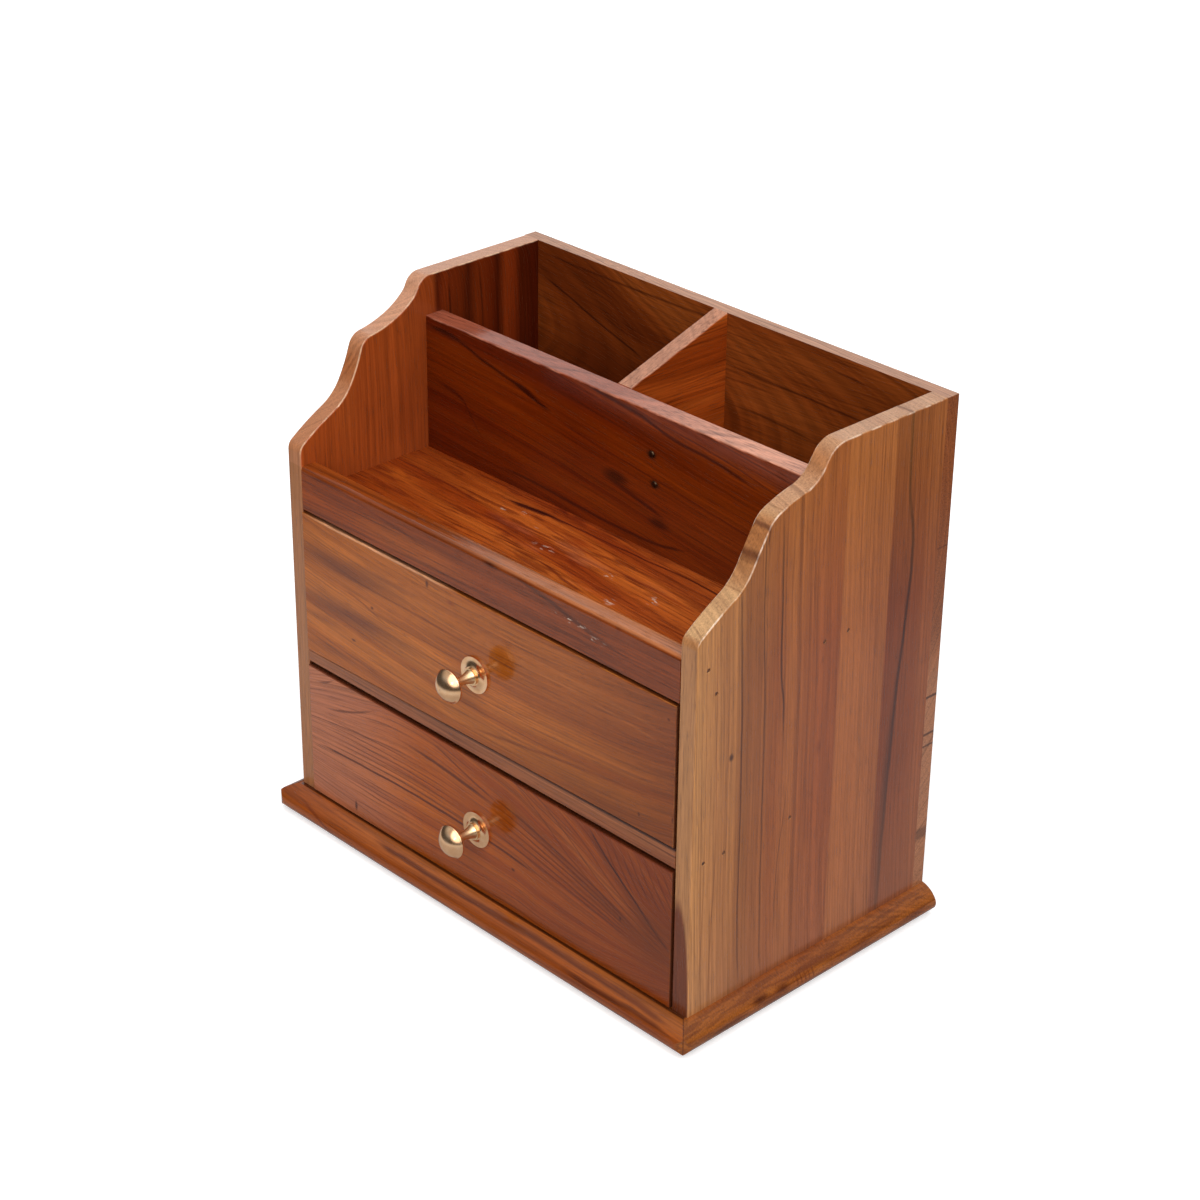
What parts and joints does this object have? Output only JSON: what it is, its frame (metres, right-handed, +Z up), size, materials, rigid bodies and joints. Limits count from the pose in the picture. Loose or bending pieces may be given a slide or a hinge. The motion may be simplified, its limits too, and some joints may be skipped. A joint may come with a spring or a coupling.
{
  "type": "desktop drawer organizer",
  "caption": "Small wooden desk organizer with full-width drawers on brass knobs, an open tray behind a low lip, tall rear pockets and scalloped sides on a moulded base.",
  "frame": {"origin": "middle of the base board's flat underside, on the desk's surface", "axes": "+X to the right along the drawers' fronts, +Y from the front to the back, +Z up; drawers open along -Y"},
  "size_m": [0.2768, 0.174, 0.256],
  "materials": {
    "base_wood": "gloss lacquer",
    "side_wood": "gloss lacquer",
    "back_wood": "gloss lacquer",
    "shelf_wood": "gloss lacquer",
    "rail_wood": "gloss lacquer",
    "partition_wood": "gloss lacquer",
    "upper_front_wood": "gloss lacquer",
    "lower_front_wood": "gloss lacquer",
    "drawer_wood": "satin, unstained",
    "knob_brass": "polished",
    "nail_steel": "dull, darkened",
    "screw_steel": "bright zinc"
  },
  "bodies": {
    "case": {"base_board": "base_wood", "left_side": "side_wood", "right_side": "side_wood", "back_panel": "back_wood", "shelf_board": "shelf_wood", "front_rail": "rail_wood", "drawer_divider": "rail_wood", "front_partition": "partition_wood", "cross_partition": "partition_wood", "partition_nails": "nail_steel", "left_side_pins": "nail_steel", "right_side_pins": "nail_steel", "back_nails": "nail_steel", "base_screws": "screw_steel"},
    "upper_drawer": {"upper_drawer_front": "upper_front_wood", "upper_drawer_left": "drawer_wood", "upper_drawer_right": "drawer_wood", "upper_drawer_back": "drawer_wood", "upper_drawer_bottom": "drawer_wood", "upper_drawer_pins": "nail_steel", "upper_bottom_brads": "nail_steel", "upper_knob_rose": "knob_brass", "upper_knob": "knob_brass", "upper_knob_screw": "screw_steel"},
    "lower_drawer": {"lower_drawer_front": "lower_front_wood", "lower_drawer_left": "drawer_wood", "lower_drawer_right": "drawer_wood", "lower_drawer_back": "drawer_wood", "lower_drawer_bottom": "drawer_wood", "lower_drawer_pins": "nail_steel", "lower_bottom_brads": "nail_steel", "lower_knob_rose": "knob_brass", "lower_knob": "knob_brass", "lower_knob_screw": "screw_steel"}
  },
  "joints": [
    {"name": "upper_drawer_slide", "type": "slide", "parent": "case", "child": "upper_drawer", "axis": [0, -1, 0], "range_m": [0, 0.115]},
    {"name": "lower_drawer_slide", "type": "slide", "parent": "case", "child": "lower_drawer", "axis": [0, -1, 0], "range_m": [0, 0.115]}
  ]
}
